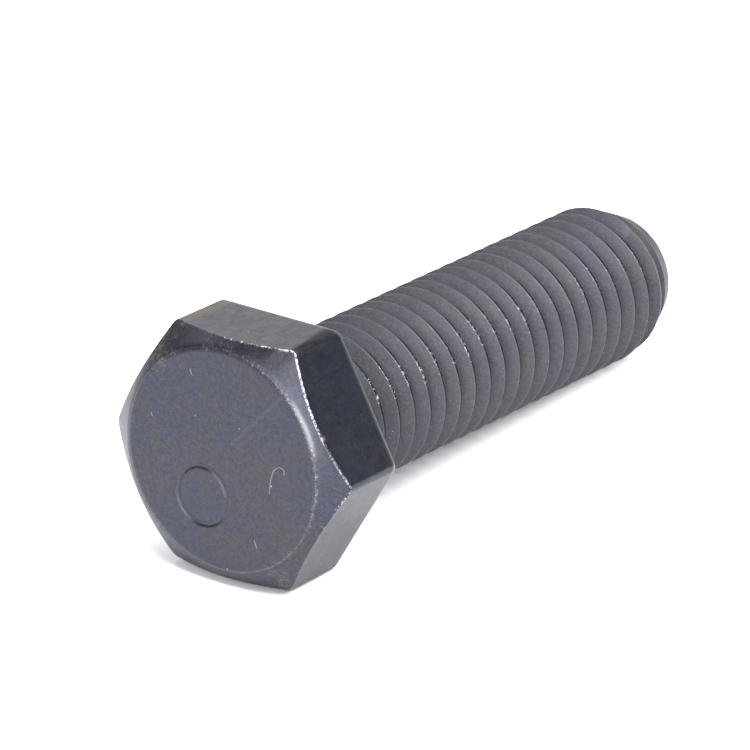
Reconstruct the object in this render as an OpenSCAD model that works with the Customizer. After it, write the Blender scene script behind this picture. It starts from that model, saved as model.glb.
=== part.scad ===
// Hex bolt: fully threaded cap screw with a chamfered hexagon head.
// Millimetres. The bolt's axis lies along +Y, head towards -Y, point towards +Y.
// The origin is the centre of the bearing surface under the head.
// Two of the head's flats face straight up and straight down (+Z and -Z).
// The bolt is one piece of steel, so its zones meet face to face and nothing moves.

/* [Head] */
// Width across the flats
across_flats = 19.05; // [8:0.05:40]
// Radius over the hexagon's rounded corners
corner_radius = 10.89; // [4:0.01:23]
// Height of the hexagon, without the washer face
hex_height = 7.4; // [3:0.05:20]
// Radius of the flat on top of the head, where the chamfer starts
crown_radius = 8.72; // [3:0.01:19]
// Angle of the top chamfer from the flat
crown_chamfer_angle = 35; // [15:1:45]
// Radius of the hexagon's underside, where the small corner relief starts
underside_radius = 10.6; // [3:0.01:23]
// Angle of the corner relief from the underside
relief_angle = 30; // [10:1:60]

/* [Under the head] */
// Thickness of the washer face
washer_thickness = 0.4; // [0.1:0.05:2]
// Radius of the washer face
washer_radius = 8.95; // [4:0.05:19]
// Radius of the fillet between the bearing surface and the neck
fillet_radius = 0.8; // [0.2:0.05:3]
// Radius of the plain neck, about the thread's pitch radius
neck_radius = 5.72; // [2:0.01:19]
// Length of the neck, from the bearing surface to the threaded part
neck_length = 0.9; // [0.5:0.1:20]
// Width of the flat ring between the fillet and the washer face
ring_land = 0.1; // [0.05:0.05:1]

/* [Thread] */
// Major radius, over the crests
major_radius = 6.3; // [2:0.01:19]
// Thread pitch, 13 turns to the inch
pitch = 1.9538; // [0.5:0.0001:5]
// Depth of the thread from crest to root
thread_depth = 1.2; // [0.2:0.01:3]
// Half of the angle between the flanks
flank_half_angle = 30; // [25:0.5:35]
// Length over which the thread rises to its full depth at the neck
runout_length = 1.3; // [0.5:0.1:6]
// Distance along the axis from the bearing surface to one crest at +X
crest_start = 0.26; // [0:0.01:5]
// Facets around the thread
facets_round = 36; // [24:4:48]

/* [Point] */
// Length from the bearing surface to the end face
length = 44.45; // [10:0.05:150]
// Length of the tapered end, over which the thread fades away
taper_length = 3.7; // [0.5:0.05:8]
// Radius of the flat end face
end_radius = 4.7; // [1:0.01:18]
// Length of the plain part of the tapered end
plain_point_length = 0.9; // [0.2:0.05:4]

/* [Hidden] */
steel = [0.30, 0.30, 0.33];
hex_back = -washer_thickness - hex_height;
ring_radius = neck_radius + fillet_radius + ring_land;
thread_end = length - plain_point_length;
taper_start = length - taper_length;
taper_slope = (major_radius - end_radius) / taper_length;
trace_start = neck_length + pitch;
end_gap = 0.1;
crest_half = pitch / 16;
flank_run = thread_depth * tan(flank_half_angle);
profile_points = [-crest_half, crest_half, crest_half + flank_run, pitch - crest_half - flank_run];
per_pitch = len(profile_points);

// Turns a profile drawn as [radius, distance along the axis] into a solid about the Y axis.
module about_axis(outline) {
    rotate([-90, 0, 0]) rotate_extrude($fn = 96) polygon(outline);
}

// Radius of the tapered end at a distance along the axis.
function taper_radius(y) = major_radius - max(0, y - taper_start) * taper_slope;

// How fully the thread is formed: 0 at the neck, 1 past the run-out.
function formed(y) = let (t = max(0, min(1, (y - trace_start) / runout_length))) t * t * (3 - 2 * t);

// Radius of the threaded surface, on the crest (height 1) or in the root (height 0).
function thread_radius(y, height) =
    min(neck_radius + formed(y) * (major_radius - (1 - height) * thread_depth - neck_radius),
        taper_radius(y));

// Position on the surface: right-hand, so y grows as the angle turns about +Y.
function around(r, angle, y) = [r * cos(angle), y, -r * sin(angle)];

// The hexagon, with its corners eased, chamfered on top by a cone and relieved underneath.
module hex_head() {
    crown_drop = (corner_radius - crown_radius) * tan(crown_chamfer_angle);
    relief_drop = (corner_radius - underside_radius) * tan(relief_angle);
    color(steel)
    intersection() {
        translate([0, hex_back, 0]) rotate([-90, 0, 0])
            cylinder(h = hex_height, r = across_flats / sqrt(3), $fn = 6);
        about_axis([
            [0, hex_back],
            [crown_radius, hex_back],
            [corner_radius, hex_back + crown_drop],
            [corner_radius, -washer_thickness - relief_drop],
            [underside_radius, -washer_thickness],
            [0, -washer_thickness]
        ]);
    }
}

// The raised ring that bears on the clamped part.
module washer_face() {
    color(steel)
    about_axis([
        [ring_radius, -washer_thickness],
        [washer_radius, -washer_thickness],
        [washer_radius, 0],
        [ring_radius, 0]
    ]);
}

// The core under the head, its fillet and the plain neck up to the thread.
module neck() {
    color(steel)
    difference() {
        about_axis([
            [0, -washer_thickness],
            [ring_radius, -washer_thickness],
            [ring_radius, 0],
            [neck_radius + fillet_radius, 0],
            [neck_radius + fillet_radius, fillet_radius],
            [neck_radius, fillet_radius],
            [neck_radius, neck_length],
            [0, neck_length]
        ]);
        translate([0, fillet_radius, 0]) rotate([-90, 0, 0])
            rotate_extrude($fn = 96) translate([neck_radius + fillet_radius, 0])
                circle(r = fillet_radius, $fn = 48);
    }
}

// The thread: rows of points run round the bolt, each one following the helix for one turn.
module threaded_shank() {
    function row_at(k) = crest_start + floor(k / per_pitch) * pitch + profile_points[k % per_pitch];
    inside = [for (k = [0 : ceil(length / pitch) * per_pitch])
        if (row_at(k) > neck_length + end_gap && row_at(k) + pitch < thread_end - end_gap) k];
    rows = len(inside);
    n = facets_round;
    row_start = [for (k = inside) row_at(k)];
    row_height = [for (k = inside) k % per_pitch < 2 ? 1 : 0];
    near_ring = [for (j = [0 : n - 1]) around(neck_radius, 360 * j / n, neck_length)];
    far_ring = [for (j = [0 : n - 1]) around(taper_radius(thread_end), 360 * j / n, thread_end)];
    surface = [for (k = [0 : rows - 1]) for (j = [0 : n - 1])
        let (y = row_start[k] + pitch * j / n)
        around(thread_radius(y, row_height[k]), 360 * j / n, y)];
    near = rows * n;
    far = near + n;
    last = rows - 1;
    // A point j steps along row k; past the row's end it is the start of the next turn.
    function at(k, j) = j < n ? k * n + j : (k + per_pitch) * n + j - n;
    body = [for (k = [0 : last - 1]) for (j = [0 : n - 1])
        if (k + 1 + per_pitch <= last || j < n - 1)
            each [[at(k, j), at(k, j + 1), at(k + 1, j + 1)], [at(k, j), at(k + 1, j + 1), at(k + 1, j)]]];
    near_band = [for (j = [0 : n - 2])
        each [[near + j, near + j + 1, at(0, j + 1)], [near + j, at(0, j + 1), at(0, j)]]];
    near_step = concat(
        [[near + n - 1, near, at(0, n - 1)], [near, at(0, 0), at(0, n - 1)]],
        [for (k = [0 : per_pitch - 1]) [at(k, 0), at(k + 1, 0), at(0, n - 1)]]);
    far_band = [for (j = [0 : n - 2])
        each [[at(last, j), at(last, j + 1), far + j + 1], [at(last, j), far + j + 1, far + j]]];
    far_step = concat(
        [for (k = [last - per_pitch : last - 1]) [at(k, n - 1), at(last, 0), at(k + 1, n - 1)]],
        [[at(last, n - 1), at(last, 0), far + n - 1], [at(last, 0), far, far + n - 1]]);
    caps = [[for (j = [n - 1 : -1 : 0]) near + j], [for (j = [0 : n - 1]) far + j]];
    color(steel)
    polyhedron(points = concat(surface, near_ring, far_ring),
        faces = concat(body, near_band, near_step, far_band, far_step, caps), convexity = 10);
}

// The plain tapered tip and its flat end face.
module chamfered_point() {
    color(steel)
    about_axis([
        [0, thread_end],
        [taper_radius(thread_end), thread_end],
        [end_radius, length],
        [0, length]
    ]);
}

hex_head();
washer_face();
neck();
threaded_shank();
chamfered_point();
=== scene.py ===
"""Looks for a black steel hex bolt: its five zones, their worn finish with painted highlights and shade,
and a pale stage.
"""

import math

import bpy
from mathutils import Matrix, Vector


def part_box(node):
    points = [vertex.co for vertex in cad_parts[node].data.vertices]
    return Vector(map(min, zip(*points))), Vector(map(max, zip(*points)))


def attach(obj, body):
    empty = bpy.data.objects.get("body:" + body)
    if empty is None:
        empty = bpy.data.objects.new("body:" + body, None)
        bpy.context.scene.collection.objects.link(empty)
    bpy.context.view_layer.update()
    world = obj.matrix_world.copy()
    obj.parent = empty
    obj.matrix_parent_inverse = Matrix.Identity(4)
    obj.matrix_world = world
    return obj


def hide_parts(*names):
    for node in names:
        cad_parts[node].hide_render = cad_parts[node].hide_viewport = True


bl_info = {
    "name": "Hex Bolt",
    "version": (1, 0, 0),
    "blender": (4, 5, 0),
    "location": "View3D > Sidebar > Hex Bolt",
    "description": "Models a black steel hex bolt zone by zone and sets it on a pale stage",
    "category": "Add Mesh",
}

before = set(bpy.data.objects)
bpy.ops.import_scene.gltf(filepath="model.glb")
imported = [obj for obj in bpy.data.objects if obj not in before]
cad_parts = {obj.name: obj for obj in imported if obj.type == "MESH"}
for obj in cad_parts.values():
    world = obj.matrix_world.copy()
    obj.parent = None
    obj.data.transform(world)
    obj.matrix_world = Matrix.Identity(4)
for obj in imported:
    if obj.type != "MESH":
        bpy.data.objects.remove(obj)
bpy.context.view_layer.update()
HEAD_LOW, HEAD_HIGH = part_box("hex_head")
WASHER_LOW, WASHER_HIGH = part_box("washer_face")
NECK_LOW, NECK_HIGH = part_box("neck")
SHANK_LOW, SHANK_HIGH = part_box("threaded_shank")
POINT_LOW, POINT_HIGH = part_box("chamfered_point")

MM = 0.001
TURN = 2 * math.pi
ALONG_Y = (-math.pi / 2, 0, 0)


# The hooked scratch on the crown, in mm and degrees: each stroke is shorter and turned further
HOOK_START = (4.5, -1.5)
HOOK_STROKES = 5
HOOK_LENGTH, HOOK_SHRINK = 1.1, 0.77
HOOK_LEAN, HOOK_CURL = 6, 11
# The short scratches on the crown, each as x, z and length in mm, and the way they all lean
SHORT_SCRATCHES = ((3.2, -5.6, 0.6), (-3.0, 6.5, 0.5), (-6.6, 2.2, 0.3))
SHORT_LEAN = 155

# Each softbox: name, angle round from the front, height, size in m, power in W, colour
SOFTBOX_DISTANCE = 1.2
SOFTBOXES = (
    ("right_softbox", 86, 50, 0.6, 26.0, (1.0, 1.0, 1.0)),
    ("overhead_softbox", 20, 72, 0.3, 7.5, (1.0, 1.0, 1.0)),
    ("rear_softbox", 180, 50, 0.6, 5.0, (1.0, 0.99, 0.97)),
    ("rear_left_softbox", 222, 20, 0.6, 2.0, (1.0, 0.99, 0.98)),
    ("left_high_softbox", 262, 62, 0.6, 7.0, (1.0, 1.0, 1.0)),
    ("left_softbox", 300, 30, 0.6, 2.2, (0.97, 0.98, 1.0)),
    ("front_softbox", 12, 12, 1.1, 23.5, (0.97, 0.98, 1.0)),
    ("rear_right_softbox", 142, 17, 0.6, 0.35, (0.70, 0.86, 1.0)),
)
ROOM_GLOW = 0.13
BACKDROP_GLOW = 4.0

CAMERA_AROUND, CAMERA_HEIGHT, CAMERA_ROLL = 35.919, 21.114, 1.26
CAMERA_DISTANCE = 0.5345
CAMERA_AIM = (-5.263 * MM, 18.65 * MM, -2.420 * MM)
CAMERA_LENS = 331.3

# How near two places are, in metres, when they count as the same
TOUCH = 1e-6


# ---------------------------------------------------------------- settings


class BoltHeadSizes(bpy.types.PropertyGroup):
    """Sizes of the hexagon."""

    across_flats: bpy.props.FloatProperty(
        name="Across flats", description="Width of the hexagon from flat to flat",
        default=HEAD_HIGH.z - HEAD_LOW.z, min=0.004, unit="LENGTH")
    crown_radius: bpy.props.FloatProperty(
        name="Crown radius", description="Radius of the flat on top of the head, inside the chamfer",
        default=8.72 * MM, min=0.002, unit="LENGTH")
    crown_angle: bpy.props.FloatProperty(
        name="Crown angle", description="Angle of the top chamfer from the flat",
        default=math.radians(35), min=0.2, max=0.9, subtype="ANGLE")
    corner_ease: bpy.props.FloatProperty(
        name="Corner ease", description="How far each of the six corners is rounded along its flats",
        default=0.4 * MM, min=0.00005, unit="LENGTH")
    back_round: bpy.props.FloatProperty(
        name="Back round", description="Rounding of the hexagon's rim under the head",
        default=0.62 * MM, min=0.00005, unit="LENGTH")
    front_round: bpy.props.FloatProperty(
        name="Front round", description="Rounding of the worn edges round the chamfer",
        default=0.13 * MM, min=0.00002, unit="LENGTH")
    crown_round: bpy.props.FloatProperty(
        name="Crown round", description="Rounding of the circle where the chamfer meets the crown",
        default=0.42 * MM, min=0.00002, unit="LENGTH")
    stamp_radius: bpy.props.FloatProperty(
        name="Stamp radius", description="Radius of the plain ring stamped in the crown",
        default=2.3 * MM, min=0.0005, unit="LENGTH")


class BoltThreadSizes(bpy.types.PropertyGroup):
    """Sizes of the neck, the thread and the point."""

    major_radius: bpy.props.FloatProperty(
        name="Major radius", description="Radius over the thread's crests",
        default=SHANK_HIGH.x, min=0.001, unit="LENGTH")
    pitch: bpy.props.FloatProperty(
        name="Pitch", description="Distance from one crest to the next",
        default=1.9538 * MM, min=0.0003, unit="LENGTH")
    depth: bpy.props.FloatProperty(
        name="Depth", description="Depth of the thread from crest to root",
        default=1.2 * MM, min=0.0001, unit="LENGTH")
    flank_angle: bpy.props.FloatProperty(
        name="Flank angle", description="Half of the angle between the flanks",
        default=math.radians(30), min=0.3, max=0.7, subtype="ANGLE")
    crest_start: bpy.props.FloatProperty(
        name="Crest start", description="Distance along the axis from the bearing surface to a crest at +X",
        default=0.26 * MM, unit="LENGTH")
    neck_radius: bpy.props.FloatProperty(
        name="Neck radius", description="Radius of the plain neck under the head",
        default=5.72 * MM, min=0.001, unit="LENGTH")
    fillet: bpy.props.FloatProperty(
        name="Fillet", description="Radius of the fillet between the bearing surface and the neck",
        default=0.8 * MM, min=0.0001, unit="LENGTH")
    runout: bpy.props.FloatProperty(
        name="Run-out", description="Length over which the thread rises to its full depth at the neck",
        default=1.3 * MM, min=0.0002, unit="LENGTH")
    taper_length: bpy.props.FloatProperty(
        name="Taper length", description="Length of the tapered end, where the thread fades away",
        default=3.7 * MM, min=0.0005, unit="LENGTH")
    end_radius: bpy.props.FloatProperty(
        name="End radius", description="Radius of the flat end face",
        default=4.7 * MM, min=0.0005, unit="LENGTH")


class BoltFinish(bpy.types.PropertyGroup):
    """Colours of the black oxide finish, its worn places and its painted highlights."""

    oxide: bpy.props.FloatVectorProperty(
        name="Black oxide", description="Reflected colour of the black oxide",
        subtype="COLOR", size=3, min=0, max=1, default=(0.048, 0.052, 0.073))
    oxide_warm: bpy.props.FloatVectorProperty(
        name="Warm oxide", description="Colour of the browner patches of oxide",
        subtype="COLOR", size=3, min=0, max=1, default=(0.061, 0.057, 0.062))
    # Also the colour of the painted highlights on the head's edges and the thread's crests
    bare_steel_and_glint: bpy.props.FloatVectorProperty(
        name="Bare steel", description="Colour of the steel where the oxide is rubbed off",
        subtype="COLOR", size=3, min=0, max=1, default=(0.50, 0.49, 0.50))
    rust: bpy.props.FloatVectorProperty(
        name="Rust", description="Colour of the thin rust and dust near the corners",
        subtype="COLOR", size=3, min=0, max=1, default=(0.215, 0.178, 0.135))
    roughness: bpy.props.FloatProperty(
        name="Roughness", description="Roughness of the oxide",
        default=0.32, min=0.05, max=1)


# ---------------------------------------------------------------- modelling helpers


def start():
    """Leaves edit mode and deselects everything, so the next operator works on its own object."""
    if bpy.context.object and bpy.context.object.mode != "OBJECT":
        bpy.ops.object.mode_set(mode="OBJECT")
    bpy.ops.object.select_all(action="DESELECT")


def named(name):
    """Names the new primitive and settles its place into its mesh."""
    piece = bpy.context.object
    piece.name = piece.data.name = name
    bpy.ops.object.transform_apply(location=True, rotation=True, scale=True)
    return piece


def only(piece):
    """Makes one piece the active and only selected object."""
    start()
    piece.select_set(True)
    bpy.context.view_layer.objects.active = piece


def edit(piece, mode="EDGE"):
    """Enters edit mode on a piece with nothing selected."""
    only(piece)
    bpy.ops.object.mode_set(mode="EDIT")
    bpy.ops.mesh.select_mode(type=mode)
    bpy.ops.mesh.select_all(action="DESELECT")
    bpy.ops.object.mode_set(mode="OBJECT")


def choose_edges(piece, test):
    """Selects the edges whose two ends pass a test, and opens them for editing."""
    edit(piece, "EDGE")
    mesh = piece.data
    chosen = 0
    for edge in mesh.edges:
        edge.select = all(test(mesh.vertices[v].co) for v in edge.vertices)
        chosen += edge.select
    if not chosen:
        raise RuntimeError(f"no edge of {piece.name} was chosen")
    bpy.ops.object.mode_set(mode="EDIT")


def choose_faces(piece, test):
    """Selects the faces that pass a test on their centre and normal, and opens them for editing."""
    edit(piece, "FACE")
    chosen = 0
    for face in piece.data.polygons:
        face.select = test(face.center, face.normal)
        chosen += face.select
    if not chosen:
        raise RuntimeError(f"no face of {piece.name} was chosen")
    bpy.ops.object.mode_set(mode="EDIT")


def close_edit():
    """Leaves edit mode."""
    bpy.ops.object.mode_set(mode="OBJECT")


def modify(piece, kind, **settings):
    """Adds a modifier, sets it and applies it."""
    only(piece)
    bpy.ops.object.modifier_add(type=kind)
    modifier = piece.modifiers[-1]
    for key, value in settings.items():
        setattr(modifier, key, value)
    bpy.ops.object.modifier_apply(modifier=modifier.name)


def drop(piece):
    """Deletes a helper object."""
    only(piece)
    bpy.ops.object.delete()


def smooth(piece, degrees):
    """Shades a piece smooth, but sharp across edges over an angle."""
    only(piece)
    bpy.ops.object.shade_smooth_by_angle(angle=math.radians(degrees))


def settle(piece, *nodes):
    """Rides a finished piece on the bolt's one body in place of its CAD zones."""
    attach(piece, "root")
    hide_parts(*nodes)


def toward(around, height):
    """The direction at an angle round from the front and a height, both in degrees."""
    a, h = math.radians(around), math.radians(height)
    return Vector((math.sin(a) * math.cos(h), -math.cos(a) * math.cos(h), math.sin(h)))


def radius(co):
    """Distance of a point from the bolt's axis."""
    return math.hypot(co.x, co.z)


def turned(name, outline, steps=160):
    """A solid turned about the Y axis: a first cone, then rings extruded from its open end."""
    (r0, y0), (r1, y1) = outline[:2]
    start()
    bpy.ops.mesh.primitive_cone_add(
        vertices=steps, radius1=r0, radius2=r1, depth=y1 - y0,
        location=(0, (y0 + y1) / 2, 0), rotation=ALONG_Y)
    piece = named(name)
    for (r_was, y_was), (r, y) in zip(outline[1:], outline[2:]):
        choose_faces(piece, lambda co, normal: normal.y > 0.99 and co.y > y_was - TOUCH)
        bpy.ops.mesh.extrude_region_move(TRANSFORM_OT_translate={"value": (0, y - y_was, 0)})
        bpy.ops.transform.resize(value=(r / r_was, 1, r / r_was), center_override=(0, y, 0))
        close_edit()
    return piece


# ---------------------------------------------------------------- shader helpers


class Value:
    """A shader socket that adds Math nodes when it is used in an expression."""

    def __init__(self, tree, socket):
        self.tree, self.socket = tree, socket

    def _math(self, operation, *others, flip=False, clamp=False):
        node = self.tree.nodes.new("ShaderNodeMath")
        node.operation, node.use_clamp = operation, clamp
        terms = [self, *others]
        if flip:
            terms.reverse()
        for slot, term in zip(node.inputs, terms):
            if isinstance(term, Value):
                self.tree.links.new(term.socket, slot)
            else:
                slot.default_value = term
        return Value(self.tree, node.outputs[0])

    def __add__(self, other):
        return self._math("ADD", other)

    __radd__ = __add__

    def __sub__(self, other):
        return self._math("SUBTRACT", other)

    def __rsub__(self, other):
        return self._math("SUBTRACT", other, flip=True)

    def __mul__(self, other):
        return self._math("MULTIPLY", other)

    __rmul__ = __mul__

    def __truediv__(self, other):
        return self._math("DIVIDE", other)

    def __neg__(self):
        return self._math("MULTIPLY", -1)

    def __abs__(self):
        return self._math("ABSOLUTE")

    def root(self):
        """The square root."""
        return self._math("SQRT")

    def least(self, other):
        """The smaller of the two."""
        return self._math("MINIMUM", other)

    def most(self, other):
        """The larger of the two."""
        return self._math("MAXIMUM", other)

    def clamped(self):
        """The value held between 0 and 1."""
        return self._math("ADD", 0, clamp=True)

    def rise(self, low, high):
        """0 below low, 1 above high, smooth between."""
        node = self.tree.nodes.new("ShaderNodeMapRange")
        node.interpolation_type = "SMOOTHSTEP"
        self.tree.links.new(self.socket, node.inputs["Value"])
        node.inputs["From Min"].default_value = low
        node.inputs["From Max"].default_value = high
        return Value(self.tree, node.outputs["Result"])


class Finish:
    """A material under construction: one method adds any node, others give the usual patterns."""

    def __init__(self, name):
        self.material = bpy.data.materials.new(name)
        self.material.use_nodes = True
        self.tree = self.material.node_tree
        self.shader = self.tree.nodes["Principled BSDF"]
        self.place = self.node("ShaderNodeTexCoord", output="Object")
        split = self.node("ShaderNodeSeparateXYZ", {"Vector": self.place}, output=None)
        self.x, self.y, self.z = (Value(self.tree, split.outputs[i]) for i in range(3))

    def node(self, kind, inputs=None, output=0, **settings):
        """Adds a node, sets its settings, then links or sets its sockets."""
        node = self.tree.nodes.new(kind)
        for key, value in settings.items():
            setattr(node, key, value)
        for key, value in (inputs or {}).items():
            slot = node.inputs[key]
            if isinstance(value, Value):
                self.tree.links.new(value.socket, slot)
            elif isinstance(value, (tuple, list)) and len(value) == 3 and len(slot.default_value) == 4:
                slot.default_value = (*value, 1)
            else:
                slot.default_value = value
        return node if output is None else Value(self.tree, node.outputs[output])

    def noise(self, size, detail=3, rough=0.55, shift=(0, 0, 0), stretch=(1, 1, 1)):
        """Noise with features of a given size in metres."""
        where = self.node("ShaderNodeMapping", {
            "Vector": self.place, "Location": shift, "Scale": tuple(s / size for s in stretch)})
        return self.node("ShaderNodeTexNoise", {
            "Vector": where, "Scale": 1.0, "Detail": detail, "Roughness": rough})

    def dots(self, size, share, shift=(0, 0, 0)):
        """Small specks, one per cell of a given size; share is the speck's part of its cell."""
        where = self.node("ShaderNodeMapping", {
            "Vector": self.place, "Location": shift, "Scale": (1 / size,) * 3})
        gap = self.node("ShaderNodeTexVoronoi", {"Vector": where, "Scale": 1.0, "Randomness": 1.0})
        return 1 - gap.rise(share * 0.5, share)

    def blend(self, factor, first, second):
        """Mixes two colours."""
        return self.node("ShaderNodeMix", {0: factor, 6: first, 7: second}, output=2,
                         data_type="RGBA", clamp_factor=True)

    def scaled(self, colour, factor):
        """Brightens or darkens a colour by a factor."""
        return self.node("ShaderNodeVectorMath", {0: colour, "Scale": factor}, operation="SCALE")

    def spot(self, x, z, reach, y=None):
        """1 at a place on the bolt, falling to 0 at a distance."""
        square = (self.x - x) * (self.x - x) + (self.z - z) * (self.z - z)
        if y is not None:
            square = square + (self.y - y) * (self.y - y)
        return 1 - square.root().rise(0, reach)

    def stroke(self, ax, az, bx, bz, half):
        """A thin straight scratch on the crown, from a to b."""
        length = math.hypot(bx - ax, bz - az)
        ux, uz = (bx - ax) / length, (bz - az) / length
        along = (self.x - ax) * ux + (self.z - az) * uz
        beyond = along - along.most(0).least(length)
        across = (self.x - ax) * uz - (self.z - az) * ux
        return 1 - (beyond * beyond + across * across).root().rise(half * 0.4, half)

    def finish(self, colour, roughness, height, metallic=1.0):
        """Joins the finished colour, roughness and height to the shader."""
        sockets = self.shader.inputs
        self.tree.links.new(colour.socket, sockets["Base Color"])
        self.tree.links.new(roughness.socket, sockets["Roughness"])
        if isinstance(metallic, Value):
            self.tree.links.new(metallic.socket, sockets["Metallic"])
        else:
            sockets["Metallic"].default_value = metallic
        bump = self.node("ShaderNodeBump", {"Height": height, "Distance": 1.0, "Strength": 1.0},
                         output="Normal")
        self.tree.links.new(bump.socket, sockets["Normal"])
        return self.material


def oxide_base(skin, finish, gain=1.0):
    """The mottled black oxide that every zone shares: colour, roughness and fine height."""
    broad = skin.noise(4.5 * MM, detail=2, shift=(3, 1, 7))
    patches = skin.noise(0.9 * MM, detail=4, rough=0.6)
    grain = skin.noise(0.11 * MM, detail=3, rough=0.7, shift=(11, 5, 2))
    tint = skin.noise(0.28 * MM, detail=3, rough=0.7, shift=(5, 5, 5))
    tone = (patches * 0.3 + broad * 0.35 + tint * 0.35).rise(0.34, 0.66)
    colour = skin.blend(tone, tuple(finish.oxide), tuple(finish.oxide_warm))
    light = skin.noise(0.35 * MM, detail=4, rough=0.65, shift=(2, 9, 4))
    lift = (0.87 + 0.26 * light.rise(0.25, 0.75)) * (0.80 + 0.40 * grain.rise(0.25, 0.75)) * gain
    colour = skin.scaled(colour, lift)
    roughness = finish.roughness - 0.06 + 0.12 * patches + 0.07 * grain
    height = grain * (0.009 * MM) + patches * (0.012 * MM)
    return colour, roughness, height


def worn(skin, finish, colour, roughness, mask, polish=0.26):
    """Lays bare steel colour over the oxide where the mask says, for worn places and for painted
    highlights.
    """
    return (skin.blend(mask, colour, tuple(finish.bare_steel_and_glint)),
            roughness + mask * (polish - finish.roughness))


def rusted(skin, finish, colour, roughness, mask):
    """Lays thin matt rust and dust over the oxide."""
    return skin.blend(mask, colour, tuple(finish.rust)), roughness + mask * 0.25


def crown_scratches():
    """Gives the straight strokes of the crown's scratches, each from x, z to x, z in mm."""
    x, z = HOOK_START
    for step in range(HOOK_STROKES):
        lean = math.radians(HOOK_LEAN + HOOK_CURL * step * step)
        length = HOOK_LENGTH * HOOK_SHRINK ** step
        end_x, end_z = x + length * math.sin(lean), z + length * math.cos(lean)
        yield x, z, end_x, end_z
        x, z = end_x, end_z
    lean = math.radians(SHORT_LEAN)
    for x, z, length in SHORT_SCRATCHES:
        yield x, z, x + length * math.sin(lean), z + length * math.cos(lean)


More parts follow.
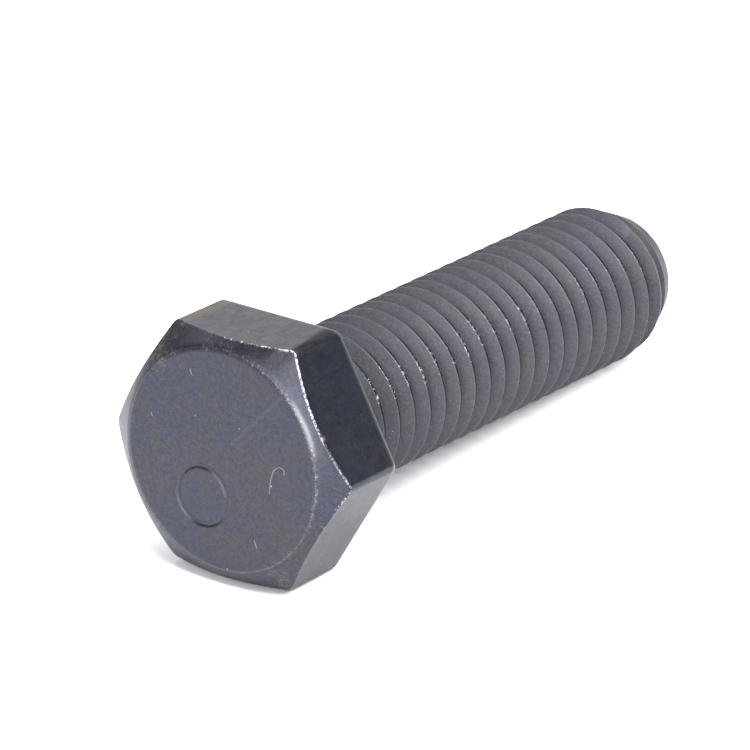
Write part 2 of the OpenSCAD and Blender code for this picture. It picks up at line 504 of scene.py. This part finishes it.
def head_finish(sizes, finish):
    """Black oxide on the head: worn edges, hairline scratches, rust near two corners, and painted
    highlights on the upper right edges, the crown's rim and the rim underneath.
    """
    skin = Finish("black_oxide_head")
    colour, roughness, height = oxide_base(skin, finish)
    flat = sizes.across_flats / 2
    top = HEAD_LOW.y
    radial = (skin.x * skin.x + skin.z * skin.z).root()
    slant = skin.x * math.cos(math.pi / 6)
    rise = skin.z * math.sin(math.pi / 6)
    hexed = abs(skin.z).most(abs(slant + rise)).most(abs(slant - rise))
    cone = (skin.y - top) - (radial - sizes.crown_radius) * math.tan(sizes.crown_angle)
    ragged = skin.noise(0.30 * MM, detail=4, rough=0.75, shift=(4, 4, 1))
    broken = skin.noise(1.3 * MM, detail=2, shift=(8, 2, 2))
    to_right = (skin.x * math.cos(0.66) + skin.z * math.sin(0.66)) / flat

    crown_near = 1 - (skin.y - top).rise(0.1 * MM, 0.3 * MM)

    # The edge between the chamfer and the flats, worn bright in chips, with more on the upper right side as
    # a painted highlight
    front_edge = hexed.rise(flat - 0.15 * MM, flat - 0.05 * MM) * (1 - cone.rise(0.05 * MM, 0.13 * MM))
    edge_glint_side = to_right.rise(0.55, 0.98)
    chips = skin.noise(0.20 * MM, detail=3, rough=0.8, shift=(2, 2, 6))
    front_wear_and_glint = front_edge * (chips + 0.16 * edge_glint_side + 0.18 * broken).rise(0.69, 0.82)
    # Painted highlight: a faint glint along the crown's rim on its upper right side, laid as bare steel
    glint = (1 - abs(radial - sizes.crown_radius - 0.1 * MM).rise(0.05 * MM, 0.35 * MM)) * crown_near * (
        (skin.x * 0.87 + skin.z * 0.5) / radial).rise(0.955, 1.0) * (0.4 + 0.6 * ragged) * 0.30
    nick = skin.spot(8.85 * MM, 3.72 * MM, 0.30 * MM, y=-7.1 * MM)
    # The rim of the crown, chipped bright, with a little more on the right side as a painted highlight
    rim = (1 - abs(radial - sizes.crown_radius).rise(0.06 * MM, 0.26 * MM)) * crown_near
    rim_glint_side = to_right.rise(0.25, 0.85)
    rim_wear_and_glint = rim * (chips + 0.07 * rim_glint_side + 0.16 * broken).rise(0.69, 0.84) * 0.6
    # Rubbed corners, and a painted highlight as a light band along the rounded rim underneath
    hairline = (1 - abs(radial - sizes.crown_radius).rise(0.02 * MM, 0.11 * MM)) * crown_near
    back = skin.y.rise(HEAD_HIGH.y - 0.85 * MM, HEAD_HIGH.y - 0.45 * MM)
    corner = radial.rise(flat * 1.115, flat * 1.14) * ragged.rise(0.5, 0.75)
    rub_and_sheen = (back * (0.17 + 0.22 * ragged) + corner * 0.04
           + hairline * ragged.rise(0.3, 0.6) * 0.10).clamped()

    crown = 1 - (skin.y - top).rise(0.02 * MM, 0.06 * MM)
    lines = None
    for ax, az, bx, bz in crown_scratches():
        line = skin.stroke(ax * MM, az * MM, bx * MM, bz * MM, 0.055 * MM)
        lines = line if lines is None else lines.most(line)
    lines = lines * crown * (0.25 + 0.75 * ragged.rise(0.3, 0.6))
    specks = skin.dots(1.5 * MM, 0.055, shift=(5, 1, 3)) * ragged.rise(0.45, 0.6)
    haze = skin.stroke(0.95 * MM, 1.5 * MM, 5.63 * MM, 6.53 * MM, 0.22 * MM) * crown * 0.016
    # Wear and painted highlights are laid together as bare steel
    wear_and_glints = front_wear_and_glint
    for mask in (rim_wear_and_glint, rub_and_sheen, lines * 0.28, specks * 0.8, haze, glint, nick):
        wear_and_glints = wear_and_glints.most(mask)
    wear_and_glints = wear_and_glints.clamped()

    # The flats carry faint lengthwise rolling streaks and a dull smudge near one rear corner
    side = (skin.y - top).rise(0.9 * MM, 1.6 * MM)
    streaks = skin.noise(0.55 * MM, detail=4, rough=0.6, shift=(3, 8, 6), stretch=(1, 0.4, 1))
    streak_strength = 0.16 + 0.28 * skin.z.rise(flat - 0.6 * MM, flat - 0.3 * MM)
    colour = skin.scaled(colour, 1 + side * (0.40 - streaks.rise(0.40, 0.66)) * streak_strength)
    from_corner = (sizes.across_flats * 0.2887 - skin.x) / (0.30 * MM + (skin.y - top) * 0.17)
    smudge = (1 - from_corner.rise(0.45, 1.0)) * skin.z.rise(flat - 0.5 * MM, flat - 0.2 * MM) * (
        skin.y - top).rise(1.0 * MM, 2.5 * MM)
    roughness = roughness + side * 0.03 + smudge * 0.2
    colour = skin.scaled(colour, 1 - smudge * 0.62)

    # Thin rust sits round two corners of the chamfer and along one edge of the top flat
    edge_rust = (1 - abs(skin.x + 4.75 * MM).rise(0.1 * MM, 1.5 * MM)) * skin.z.rise(
        flat - 0.5 * MM, flat - 0.2 * MM)
    rust_zone = skin.spot(-6.6 * MM, 7.4 * MM, 4.6 * MM).most(
        skin.spot(4.9 * MM, -8.6 * MM, 2.6 * MM) * 0.7).most(
        skin.spot(-1.0 * MM, 9.0 * MM, 3.8 * MM) * 0.6)
    rust_zone = (rust_zone * (1 - (skin.y - top).rise(2.2 * MM, 3.4 * MM))).most(edge_rust)
    rust_grain = skin.noise(0.19 * MM, detail=3, rough=0.85, shift=(1, 6, 9))
    sheltered = 0.30 + 0.70 * radial.rise(sizes.crown_radius - 0.45 * MM, sizes.crown_radius)
    rust_cloud = skin.noise(1.1 * MM, detail=2, shift=(7, 6, 1))
    rust = (rust_zone * 0.24 + rust_grain * 0.7 + rust_cloud * 0.3).rise(0.66, 0.78) * 0.70 * sheltered
    grit = skin.dots(0.40 * MM, 0.17, shift=(3, 3, 3)) * rust_zone.rise(0.1, 0.7)
    colour, roughness = rusted(skin, finish, colour, roughness, rust.most(grit * 0.8))
    colour, roughness = worn(skin, finish, colour, roughness, wear_and_glints)
    height = height - lines * (0.015 * MM)
    return skin.finish(colour, roughness, height)


def thread_finish(sizes, finish, name="black_oxide_thread"):
    """Black oxide on the neck, thread and point: crests rubbed and nicked, roots a little bluer, with a
    painted shadow behind each crest, painted glints and highlights on the crests, and painted shade on the
    upper crests and toward the tip.
    """
    skin = Finish(name)
    colour, roughness, height = oxide_base(skin, finish, gain=0.88)
    radial = (skin.x * skin.x + skin.z * skin.z).root()
    taper_start = POINT_HIGH.y - sizes.taper_length
    slope = (sizes.major_radius - sizes.end_radius) / sizes.taper_length
    crest_radius = sizes.major_radius - (skin.y - taper_start).most(0) * slope
    below = crest_radius - radial
    crest = 1 - below.rise(0.02 * MM, 0.09 * MM)
    # Where a point stands between crests: 0 at a crest's middle, half a turn off at the roots
    turn = skin.node("ShaderNodeMath", {0: -skin.z, 1: skin.x}, operation="ARCTAN2") / TURN
    phase = skin.node("ShaderNodeMath", {
        0: (skin.y - sizes.crest_start) / sizes.pitch - turn + 0.5}, operation="FRACT") - 0.5
    # The thread's own wear and the painted crest shadow stop at the neck and before the plain tip
    threaded = skin.y.rise(NECK_HIGH.y - 0.3 * MM, NECK_HIGH.y + 0.3 * MM) * (
        1 - skin.y.rise(POINT_LOW.y - 1.2 * MM, POINT_LOW.y))
    # Painted shadow: a thin dark line along the rear edge of each crest, where the next flank lies in shade
    painted_crest_shadow = phase.rise(-0.055, -0.015) * (1 - phase.rise(0.05, 0.09)) * threaded
    crest = crest * threaded * (1 - abs(phase).rise(0.10, 0.16))
    root = below.rise(0.55 * sizes.depth, 0.98 * sizes.depth)
    ragged = skin.noise(0.22 * MM, detail=4, rough=0.75, shift=(6, 2, 1))
    broken = skin.noise(1.6 * MM, detail=2, shift=(1, 7, 5))
    crest_glint_side = ((skin.x * 0.83 + skin.z * 0.56) / radial).rise(0.93, 1.0)
    # The nicks are fewer and fainter away from the head, and gather as painted glints on the side of the
    # crests turned toward the camera
    nicks_and_glints = crest * (ragged + 0.22 * broken + 0.17 * crest_glint_side).rise(0.81, 0.92) * (
        1 - 0.65 * skin.y.rise(10 * MM, 26 * MM))
    specks = skin.dots(0.9 * MM, 0.06, shift=(2, 8, 3)) * ragged.rise(0.45, 0.6) * 0.55
    # Painted highlight: a faint light line along the front edge of each crest
    painted_crest_highlight = phase.rise(-0.13, -0.09) * (1 - phase.rise(-0.065, -0.045)) * crest.rise(0, 0.3) * 0.035
    # On the upward side the painted crest shadow fades, and below the crests there get painted shade
    upward = (skin.z / radial).rise(0.72, 0.95)
    painted_crest_shadow = painted_crest_shadow * (1 - upward * 0.85)
    wear_and_glints = nicks_and_glints.most(specks).most(painted_crest_highlight).clamped()
    colour = skin.blend(root * 0.35, colour, (0.050, 0.056, 0.078))
    sand = skin.noise(0.16 * MM, detail=2, rough=0.8, shift=(7, 3, 3))
    colour = skin.node("ShaderNodeVectorMath", {0: colour, 1: (1.03, 0.985, 0.975)}, operation="MULTIPLY")
    # Painted shade: the crests are darkened where they face upward, and the thread darkens toward the tip;
    # the sand noise is the oxide's own grain
    toward_tip = skin.y.rise(taper_start, POINT_LOW.y)
    colour = skin.scaled(colour, (0.80 + 0.40 * sand.rise(0.30, 0.70)) * (
        1 - 0.38 * crest * upward) * (1 - 0.32 * toward_tip))
    height = height + sand * (0.010 * MM)
    # The painted crest shadow is laid as near-black
    colour = skin.blend(painted_crest_shadow * 0.9, colour, (0.006, 0.008, 0.013))
    rust_grain = skin.noise(0.42 * MM, detail=4, rough=0.7, shift=(3, 6, 9))
    zone = skin.spot(5.2 * MM, -3.0 * MM, 1.3 * MM, y=3.9 * MM)
    rust = ((zone * 0.6 + rust_grain).rise(0.74, 1.0) * 0.8).most(rust_grain.rise(0.62, 0.78) * 0.22)
    colour, roughness = rusted(skin, finish, colour, roughness, rust)
    colour, roughness = worn(skin, finish, colour, roughness, wear_and_glints, polish=0.3)
    # The painted crest shadow is made fully metallic, so it stays black
    return skin.finish(colour, roughness + 0.16, height, metallic=(painted_crest_shadow + 0.35).most(wear_and_glints).clamped())


def give(piece, material):
    """Puts one finish on a whole piece."""
    piece.data.materials.clear()
    piece.data.materials.append(material)


# ---------------------------------------------------------------- the bolt's zones


class BOLT_OT_hex_head(bpy.types.Operator):
    """Models the forged and trimmed hexagon with its worn chamfer and plain ring stamp"""

    bl_idname = "bolt.hex_head"
    bl_label = "Hexagon Head"

    def execute(self, context):
        sizes = context.scene.bolt_head
        low, high = HEAD_LOW.y, HEAD_HIGH.y
        start()
        bpy.ops.mesh.primitive_cylinder_add(
            vertices=6, radius=sizes.across_flats / math.sqrt(3), depth=high - low,
            location=(0, (low + high) / 2, 0), rotation=(math.pi / 2, math.pi / 6, 0))
        head = named("forged_hex_head")
        edit(head)
        for edge in head.data.edges:
            a, b = (head.data.vertices[v].co for v in edge.vertices)
            edge.select = abs(a.y - b.y) > 0.5 * (high - low)
        bpy.ops.object.mode_set(mode="EDIT")
        bpy.ops.mesh.bevel(offset=sizes.corner_ease, segments=5, profile=0.5)
        close_edit()
        # The rim underneath is rounded before the crown is cut
        choose_edges(head, lambda co: co.y > high - TOUCH)
        bpy.ops.mesh.bevel(offset=sizes.back_round, segments=4, profile=0.5)
        close_edit()
        # The crown's chamfer is turned on the bolt's axis
        reach = sizes.across_flats * 0.62
        drop_y = (reach - sizes.crown_radius) * math.tan(sizes.crown_angle)
        cutter = turned("crown_cutter", [
            (sizes.crown_radius, low), (reach, low + drop_y), (reach, high + 1 * MM)], steps=180)
        choose_edges(cutter, lambda co: co.y < low + TOUCH)
        bpy.ops.mesh.bevel(offset=sizes.crown_round, segments=6, profile=0.5)
        close_edit()
        modify(head, "BOOLEAN", object=cutter, operation="INTERSECT", solver="EXACT")
        drop(cutter)
        # A plain ring, pressed lightly into the crown
        start()
        bpy.ops.mesh.primitive_torus_add(
            major_radius=sizes.stamp_radius, minor_radius=0.3 * MM, major_segments=72, minor_segments=20,
            location=(-1.7 * MM, low - 0.2 * MM, -3.2 * MM), rotation=(math.pi / 2, 0, 0))
        stamp = named("stamp_cutter")
        modify(head, "BOOLEAN", object=stamp, operation="DIFFERENCE", solver="EXACT")
        drop(stamp)
        modify(head, "BEVEL", width=sizes.front_round, segments=3, limit_method="ANGLE",
               angle_limit=math.radians(20), use_clamp_overlap=True)
        smooth(head, 35)
        modify(head, "WEIGHTED_NORMAL", keep_sharp=True)
        give(head, head_finish(sizes, context.scene.bolt_finish))
        settle(head, "hex_head")
        return {"FINISHED"}


class BOLT_OT_washer_face(bpy.types.Operator):
    """Models the thin ring under the head that bears on the clamped part"""

    bl_idname = "bolt.washer_face"
    bl_label = "Washer Face"

    def execute(self, context):
        inner, outer = NECK_HIGH.x, WASHER_HIGH.x
        low, high = WASHER_LOW.y, WASHER_HIGH.y
        start()
        bpy.ops.mesh.primitive_cylinder_add(
            vertices=144, radius=outer, depth=high - low,
            location=(0, (low + high) / 2, 0), rotation=ALONG_Y)
        ring = named("washer_ring")
        choose_faces(ring, lambda co, normal: abs(normal.y) > 0.9)
        bpy.ops.mesh.inset(thickness=outer - inner, use_even_offset=True)
        close_edit()
        choose_faces(ring, lambda co, normal: abs(normal.y) > 0.9 and radius(co) < inner * 0.5)
        bpy.ops.mesh.bridge_edge_loops()
        close_edit()
        choose_edges(ring, lambda co: radius(co) > outer - TOUCH and co.y > high - TOUCH)
        bpy.ops.mesh.bevel(offset=0.12 * MM, segments=3, profile=0.5)
        close_edit()
        smooth(ring, 35)
        give(ring, thread_finish(context.scene.bolt_thread, context.scene.bolt_finish, "black_oxide_neck"))
        settle(ring, "washer_face")
        return {"FINISHED"}


class BOLT_OT_neck(bpy.types.Operator):
    """Models the core under the head, its fillet and the short plain neck"""

    bl_idname = "bolt.neck"
    bl_label = "Neck and Fillet"

    def execute(self, context):
        sizes = context.scene.bolt_thread
        wide, low, high = NECK_HIGH.x, NECK_LOW.y, NECK_HIGH.y
        start()
        bpy.ops.mesh.primitive_cylinder_add(
            vertices=144, radius=wide, depth=-low, location=(0, low / 2, 0), rotation=ALONG_Y)
        neck = named("neck_and_fillet")
        choose_faces(neck, lambda co, normal: normal.y > 0.9)
        bpy.ops.mesh.inset(thickness=wide - sizes.neck_radius, use_even_offset=True)
        bpy.ops.mesh.extrude_region_move(TRANSFORM_OT_translate={"value": (0, high, 0)})
        close_edit()
        choose_edges(neck, lambda co: abs(co.y) < TOUCH and radius(co) < wide - 0.1 * MM)
        bpy.ops.mesh.bevel(offset=sizes.fillet, segments=8, profile=0.5)
        close_edit()
        smooth(neck, 35)
        give(neck, bpy.data.materials["black_oxide_neck"])
        settle(neck, "neck")
        return {"FINISHED"}


class BOLT_OT_rolled_thread(bpy.types.Operator):
    """Models the right-hand thread, with its run-out at the neck and its fade on the taper"""

    bl_idname = "bolt.rolled_thread"
    bl_label = "Rolled Thread"

    def execute(self, context):
        sizes = context.scene.bolt_thread
        low, high = SHANK_LOW.y, SHANK_HIGH.y
        crest, root = sizes.major_radius, sizes.major_radius - sizes.depth
        half_crest = sizes.pitch / 16
        run = sizes.depth * math.tan(sizes.flank_angle)
        half_root = sizes.pitch / 2 - half_crest - run
        turns_before = math.ceil((sizes.crest_start + 1.5 * sizes.pitch - low) / sizes.pitch) + 1
        first = sizes.crest_start - turns_before * sizes.pitch
        turns = math.ceil((high - first) / sizes.pitch) + 2
        # One pitch of the profile, drawn at +X from mid-root to mid-root
        start()
        bpy.ops.mesh.primitive_plane_add(size=0.1 * MM, location=(root, first - sizes.pitch / 2, 0))
        thread = named("rolled_thread")
        bpy.ops.object.mode_set(mode="EDIT")
        bpy.ops.mesh.select_mode(type="VERT")
        bpy.ops.mesh.select_all(action="SELECT")
        bpy.ops.mesh.merge(type="CENTER")
        bpy.ops.mesh.select_all(action="SELECT")
        for out, along in ((0, half_root), (sizes.depth, run), (0, 2 * half_crest),
                           (-sizes.depth, run), (0, half_root)):
            bpy.ops.mesh.extrude_region_move(TRANSFORM_OT_translate={"value": (out, along, 0)})
        close_edit()
        for reach, offset, segments in ((root, 0.15 * MM, 3), (crest, 0.055 * MM, 2)):
            edit(thread, "VERT")
            ends = (first - sizes.pitch / 2, first + sizes.pitch / 2)
            for vertex in thread.data.vertices:
                inside = min(abs(vertex.co.y - y) for y in ends) > TOUCH
                vertex.select = inside and abs(vertex.co.x - reach) < TOUCH
            bpy.ops.object.mode_set(mode="EDIT")
            bpy.ops.mesh.bevel(affect="VERTICES", offset=offset, segments=segments, profile=0.5)
            close_edit()
        modify(thread, "SCREW", axis="Y", angle=TURN, screw_offset=sizes.pitch, iterations=turns,
               steps=96, render_steps=96, use_merge_vertices=False)
        only(thread)
        bpy.ops.object.mode_set(mode="EDIT")
        bpy.ops.mesh.select_all(action="SELECT")
        bpy.ops.mesh.remove_doubles(threshold=0.002 * MM)
        close_edit()
        # The run-out: near the head the surface is drawn in to the neck
        neck = turned(
            "neck_gauge", [(sizes.neck_radius, -12 * MM), (sizes.neck_radius, 60 * MM)], steps=192)
        group = thread.vertex_groups.new(name="runout")
        begin = low + sizes.pitch
        for vertex in thread.data.vertices:
            t = min(1.0, max(0.0, (vertex.co.y - begin) / sizes.runout))
            if t < 1:
                group.add([vertex.index], 1 - t * t * (3 - 2 * t), "REPLACE")
        modify(thread, "SHRINKWRAP", target=neck, wrap_method="NEAREST_SURFACEPOINT",
               wrap_mode="ON_SURFACE", vertex_group="runout")
        drop(neck)
        # The taper: crests that stand outside it are drawn in to it
        taper_start = POINT_HIGH.y - sizes.taper_length
        gauge = turned("taper_gauge", [
            (crest + 0.3 * MM, -12 * MM), (crest + 0.3 * MM, taper_start - 1 * MM), (crest, taper_start),
            (sizes.end_radius, POINT_HIGH.y), (sizes.end_radius * 0.3, POINT_HIGH.y + 8 * MM)], steps=192)
        modify(thread, "SHRINKWRAP", target=gauge, wrap_method="NEAREST_SURFACEPOINT", wrap_mode="INSIDE")
        drop(gauge)
        # Cut square at both ends and closed
        for y, side in ((low, "clear_inner"), (high, "clear_outer")):
            only(thread)
            bpy.ops.object.mode_set(mode="EDIT")
            bpy.ops.mesh.select_all(action="SELECT")
            bpy.ops.mesh.bisect(plane_co=(0, y, 0), plane_no=(0, 1, 0), use_fill=True,
                                threshold=1e-7, **{side: True})
            close_edit()
        only(thread)
        bpy.ops.object.mode_set(mode="EDIT")
        bpy.ops.mesh.select_all(action="SELECT")
        bpy.ops.mesh.normals_make_consistent(inside=False)
        close_edit()
        thread.vertex_groups.clear()
        smooth(thread, 40)
        give(thread, thread_finish(sizes, context.scene.bolt_finish))
        settle(thread, "threaded_shank")
        return {"FINISHED"}


class BOLT_OT_tapered_point(bpy.types.Operator):
    """Models the plain tapered tip and its slightly dished end face"""

    bl_idname = "bolt.tapered_point"
    bl_label = "Tapered Point"

    def execute(self, context):
        low, high = POINT_LOW.y, POINT_HIGH.y
        start()
        bpy.ops.mesh.primitive_cone_add(
            vertices=144, radius1=POINT_HIGH.x, radius2=context.scene.bolt_thread.end_radius,
            depth=high - low, location=(0, (low + high) / 2, 0), rotation=ALONG_Y)
        point = named("tapered_point")
        choose_faces(point, lambda co, normal: normal.y > 0.9)
        bpy.ops.mesh.inset(thickness=1.5 * MM, use_even_offset=True)
        bpy.ops.mesh.inset(thickness=1.2 * MM, use_even_offset=True)
        bpy.ops.transform.translate(value=(0, -0.18 * MM, 0))
        bpy.ops.mesh.inset(thickness=1.2 * MM, use_even_offset=True)
        bpy.ops.transform.translate(value=(0, -0.08 * MM, 0))
        close_edit()
        choose_edges(point, lambda co: co.y > high - TOUCH and radius(co) > 4 * MM)
        bpy.ops.mesh.bevel(offset=0.35 * MM, segments=4, profile=0.5)
        close_edit()
        smooth(point, 35)
        give(point, bpy.data.materials["black_oxide_thread"])
        settle(point, "chamfered_point")
        return {"FINISHED"}


class BOLT_OT_stage(bpy.types.Operator):
    """Lays the pale floor under the bolt, with soft studio light and the camera"""

    bl_idname = "bolt.stage"
    bl_label = "Pale Stage"

    def execute(self, context):
        # The loose bolt leans: it lies on the head's rear edge and on the thread before the taper
        sizes = context.scene.bolt_thread
        heel = Vector((0, HEAD_HIGH.y - 0.2 * MM, HEAD_LOW.z))
        toe = Vector((0, POINT_HIGH.y - sizes.taper_length, -sizes.major_radius))
        lean = math.atan2(toe.z - heel.z, toe.y - heel.y)
        start()
        bpy.ops.mesh.primitive_circle_add(
            vertices=128, radius=0.4, fill_type="NGON", location=heel, rotation=(lean, 0, 0))
        floor = bpy.context.object
        floor.name = "floor"
        paper = Finish("white_paper")
        tint = paper.blend(paper.noise(60 * MM, detail=2), (0.86, 0.86, 0.87), (0.90, 0.90, 0.90))
        paper.tree.links.new(tint.socket, paper.shader.inputs["Base Color"])
        paper.shader.inputs["Roughness"].default_value = 0.9
        paper.shader.inputs["Specular IOR Level"].default_value = 0.1
        give(floor, paper.material)

        for name, around, height, size, power, colour in SOFTBOXES:
            place = toward(around, height) * SOFTBOX_DISTANCE
            start()
            bpy.ops.object.light_add(type="AREA", location=place)
            light = bpy.context.object
            light.name = light.data.name = name
            light.rotation_euler = place.to_track_quat("Z", "Y").to_euler()
            light.data.size = size
            light.data.energy = power
            light.data.color = colour
        # The room is dim, but it shows white past the floor
        world = bpy.data.worlds.new("soft_room")
        world.use_nodes = True
        tree = world.node_tree
        seen = tree.nodes.new("ShaderNodeLightPath")
        level = tree.nodes.new("ShaderNodeMapRange")
        level.inputs["To Min"].default_value = ROOM_GLOW
        level.inputs["To Max"].default_value = BACKDROP_GLOW
        tree.links.new(seen.outputs["Is Camera Ray"], level.inputs["Value"])
        tree.links.new(level.outputs["Result"], tree.nodes["Background"].inputs["Strength"])
        tree.nodes["Background"].inputs["Color"].default_value = (0.55, 0.75, 1.0, 1)
        context.scene.world = world
        context.scene.view_settings.view_transform = "Standard"

        back, roll = toward(CAMERA_AROUND, CAMERA_HEIGHT), math.radians(CAMERA_ROLL)
        aim = Vector(CAMERA_AIM)
        right = Vector((0, 0, 1)).cross(back).normalized()
        up = back.cross(right)
        turned_right = right * math.cos(roll) + up * math.sin(roll)
        turned_up = up * math.cos(roll) - right * math.sin(roll)
        start()
        bpy.ops.object.camera_add(location=aim + back * CAMERA_DISTANCE)
        camera = bpy.context.object
        camera.name = "camera"
        camera.rotation_euler = Matrix((turned_right, turned_up, back)).transposed().to_euler()
        camera.data.sensor_width = 36
        camera.data.lens = CAMERA_LENS
        camera.data.clip_start, camera.data.clip_end = 0.01, 60
        context.scene.camera = camera
        return {"FINISHED"}


class BOLT_PT_panel(bpy.types.Panel):
    """Lists the bolt's zones, their sizes and the stage"""

    bl_idname = "BOLT_PT_panel"
    bl_label = "Hex Bolt"
    bl_space_type = "VIEW_3D"
    bl_region_type = "UI"
    bl_category = "Hex Bolt"

    def draw(self, context):
        for group in (context.scene.bolt_head, context.scene.bolt_thread, context.scene.bolt_finish):
            box = self.layout.box()
            for key in group.__annotations__:
                box.prop(group, key)
        for operator in OPERATORS:
            self.layout.operator(operator.bl_idname)


OPERATORS = (BOLT_OT_hex_head, BOLT_OT_washer_face, BOLT_OT_neck, BOLT_OT_rolled_thread,
             BOLT_OT_tapered_point, BOLT_OT_stage)
CLASSES = (BoltHeadSizes, BoltThreadSizes, BoltFinish, *OPERATORS, BOLT_PT_panel)


def register():
    """Registers the bolt's classes and settings."""
    for cls in CLASSES:
        bpy.utils.register_class(cls)
    bpy.types.Scene.bolt_head = bpy.props.PointerProperty(type=BoltHeadSizes)
    bpy.types.Scene.bolt_thread = bpy.props.PointerProperty(type=BoltThreadSizes)
    bpy.types.Scene.bolt_finish = bpy.props.PointerProperty(type=BoltFinish)


def unregister():
    """Removes the bolt's settings and classes."""
    del bpy.types.Scene.bolt_finish, bpy.types.Scene.bolt_thread, bpy.types.Scene.bolt_head
    for cls in reversed(CLASSES):
        bpy.utils.unregister_class(cls)


def main():
    """Builds the bolt zone by zone, then the stage."""
    register()
    bpy.ops.bolt.hex_head()
    bpy.ops.bolt.washer_face()
    bpy.ops.bolt.neck()
    bpy.ops.bolt.rolled_thread()
    bpy.ops.bolt.tapered_point()
    bpy.ops.bolt.stage()


if __name__ == "__main__":
    main()
